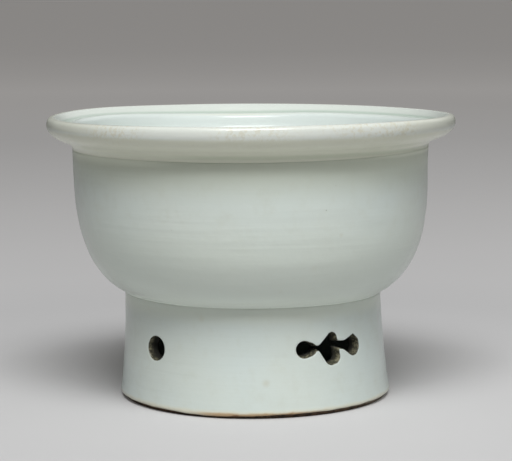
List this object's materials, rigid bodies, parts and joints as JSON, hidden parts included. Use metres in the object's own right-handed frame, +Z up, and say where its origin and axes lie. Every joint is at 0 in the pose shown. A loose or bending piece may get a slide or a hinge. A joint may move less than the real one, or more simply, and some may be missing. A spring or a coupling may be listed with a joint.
{
  "type": "porcelain bowl",
  "caption": "Round porcelain bowl with a wide dished rim, standing on a tall foot ring pierced by cloud-shaped and round openings.",
  "frame": {"origin": "centre of the foot's flat base, on the surface the bowl stands on", "axes": "+Z up through the middle of the bowl; -Y points out through the middle of one cloud-shaped opening"},
  "size_m": [0.165, 0.165, 0.1142],
  "materials": {
    "cup_glaze": "glossy pale blue-green white porcelain glaze with faint specks",
    "rim_glaze": "glossy glaze, thinner and warmer along the lip, pooled greenish in the groove",
    "foot_glaze": "glossy glaze ending at a bare, orange-brown burnt edge",
    "coil_glaze": "thin glaze over a hand-pressed coil of porcelain clay"
  },
  "bodies": {
    "root": {"cup": "cup_glaze", "dished_rim": "rim_glaze", "pierced_foot": "foot_glaze", "joining_coil": "coil_glaze"}
  },
  "joints": []
}
